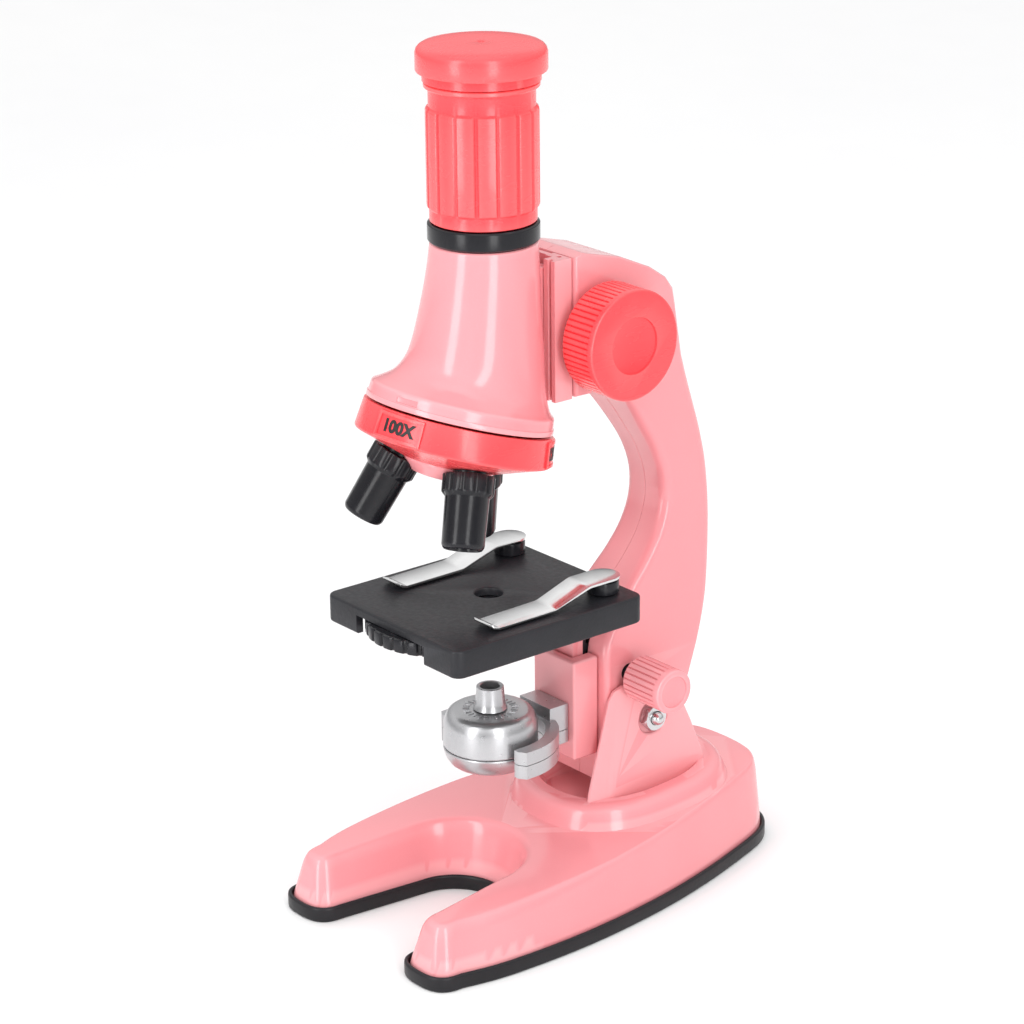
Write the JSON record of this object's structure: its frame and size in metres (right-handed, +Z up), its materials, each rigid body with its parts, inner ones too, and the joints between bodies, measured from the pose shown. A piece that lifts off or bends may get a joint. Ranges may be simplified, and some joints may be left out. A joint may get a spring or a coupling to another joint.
{
  "type": "toy microscope",
  "caption": "Child's compound microscope with a tilting arm, rack focusing, a turret of objectives, an underslung stage wheel and a flip lamp in a U-shaped battery foot.",
  "frame": {"origin": "middle of the foot's footprint, on the table", "axes": "+Z up along the optical axis, +Y from the user's open notch in the foot back to the arm, +X to the side"},
  "size_m": [0.0724, 0.1276, 0.222],
  "materials": {
    "base_plastic": "pink injection-moulded plastic, satin gloss",
    "arm_plastic": "pink injection-moulded plastic, satin gloss",
    "rim_plastic": "black plastic, fine grain",
    "black_plastic": "near-black plastic, semi-matt",
    "coral_plastic": "coral red plastic, satin gloss",
    "silver_paint": "silver-grey painted plastic",
    "clip_chrome": "bright plated spring steel",
    "screw_steel": "zinc-plated steel",
    "contact_metal": "nickel-plated spring steel",
    "lens_glass": "clear polished lens",
    "mirror_face": "silvered mirror",
    "cell_wrap": "printed cell wrap, plain"
  },
  "bodies": {
    "base": {"base_shell": "base_plastic", "base_plate": "rim_plastic", "battery_door": "rim_plastic", "battery_door_screw": "screw_steel", "battery_left": "cell_wrap", "battery_right": "cell_wrap", "contact_bridge": "contact_metal", "contact_plate": "contact_metal", "contact_spring": "contact_metal", "base_screw_left": "screw_steel", "base_screw_right": "screw_steel", "base_screw_rear": "screw_steel", "tilt_bolt": "screw_steel", "tilt_nut": "screw_steel"},
    "arm": {"arm_left_half": "arm_plastic", "arm_right_half": "arm_plastic", "upper_guide": "arm_plastic", "lower_guide": "arm_plastic", "arm_screw_top": "screw_steel", "arm_screw_middle": "screw_steel", "arm_screw_bottom": "screw_steel", "lamp_yoke_upper": "silver_paint", "lamp_yoke_lower": "silver_paint"},
    "coarse_drive": {"coarse_pinion": "black_plastic", "coarse_knob_right": "coral_plastic", "coarse_knob_left": "coral_plastic"},
    "fine_drive": {"fine_pinion": "black_plastic", "fine_knob_right": "arm_plastic", "fine_knob_left": "arm_plastic"},
    "tube": {"body_tube": "arm_plastic", "tube_rack": "black_plastic", "tube_collar": "black_plastic", "turret_screw": "screw_steel"},
    "eyepiece": {"eyepiece_barrel": "coral_plastic", "eye_lens": "lens_glass", "field_lens": "lens_glass"},
    "dust_cap": {"dust_cap": "coral_plastic"},
    "turret": {"turret": "coral_plastic", "objective_1": "black_plastic", "objective_2": "black_plastic", "objective_3": "black_plastic", "objective_lens_1": "lens_glass", "objective_lens_2": "lens_glass", "objective_lens_3": "lens_glass"},
    "stage": {"stage_plate": "black_plastic", "stage_slide": "arm_plastic", "stage_rack": "black_plastic", "wheel_pivot": "screw_steel"},
    "filter_wheel": {"filter_wheel": "black_plastic"},
    "clip_left": {"clip_left": "clip_chrome", "clip_left_stud": "black_plastic"},
    "clip_right": {"clip_right": "clip_chrome", "clip_right_stud": "black_plastic"},
    "lamp": {"lamp_upper": "silver_paint", "lamp_lower": "silver_paint", "lamp_nozzle": "silver_paint", "lamp_led": "lens_glass", "lamp_mirror": "mirror_face", "lamp_pin_left": "screw_steel", "lamp_pin_right": "screw_steel"}
  },
  "joints": [
    {"name": "arm_tilt", "type": "hinge", "parent": "base", "child": "arm", "pos_m": [0, 0.0218, 0.0435], "axis": [-1, 0, 0], "range_deg": [0, 40]},
    {"name": "coarse_focus", "type": "slide", "parent": "arm", "child": "tube", "axis": [0, 0, 1], "range_m": [-0.008, 0.0025]},
    {"name": "coarse_knob_turn", "type": "hinge", "parent": "arm", "child": "coarse_drive", "pos_m": [0, 0.0063, 0.148], "axis": [-1, 0, 0], "range_deg": [-55, 18]},
    {"name": "stage_focus", "type": "slide", "parent": "arm", "child": "stage", "axis": [0, 0, 1], "range_m": [-0.004, 0.003]},
    {"name": "fine_knob_turn", "type": "hinge", "parent": "arm", "child": "fine_drive", "pos_m": [0, 0.0163, 0.0563], "axis": [-1, 0, 0], "range_deg": [-36, 27]},
    {"name": "turret_turn", "type": "hinge", "parent": "tube", "child": "turret", "pos_m": [0, -0.0202, 0.1588], "axis": [0, 0.2957, 0.9553], "continuous": true},
    {"name": "eyepiece_draw", "type": "slide", "parent": "tube", "child": "eyepiece", "axis": [0, 0, 1], "range_m": [0, 0.02]},
    {"name": "cap_lift", "type": "slide", "parent": "eyepiece", "child": "dust_cap", "axis": [0, 0, 1], "range_m": [0, 0.012]},
    {"name": "filter_turn", "type": "hinge", "parent": "stage", "child": "filter_wheel", "pos_m": [0, -0.0342, 0.08], "axis": [0, 0, 1], "continuous": true},
    {"name": "clip_left_swing", "type": "hinge", "parent": "stage", "child": "clip_left", "pos_m": [-0.0183, 0.0013, 0.0841], "axis": [0, 0, -1], "range_deg": [-20, 30]},
    {"name": "clip_right_swing", "type": "hinge", "parent": "stage", "child": "clip_right", "pos_m": [0.0183, 0.0013, 0.0841], "axis": [0, 0, 1], "range_deg": [-20, 30]},
    {"name": "lamp_flip", "type": "hinge", "parent": "arm", "child": "lamp", "pos_m": [0, -0.0202, 0.0436], "axis": [1, 0, 0], "range_deg": [0, 180]}
  ],
  "couplings": [
    {"joint": "coarse_knob_turn", "follows": "coarse_focus", "rad_per_m": 117.65},
    {"joint": "fine_knob_turn", "follows": "stage_focus", "rad_per_m": 153.85}
  ]
}
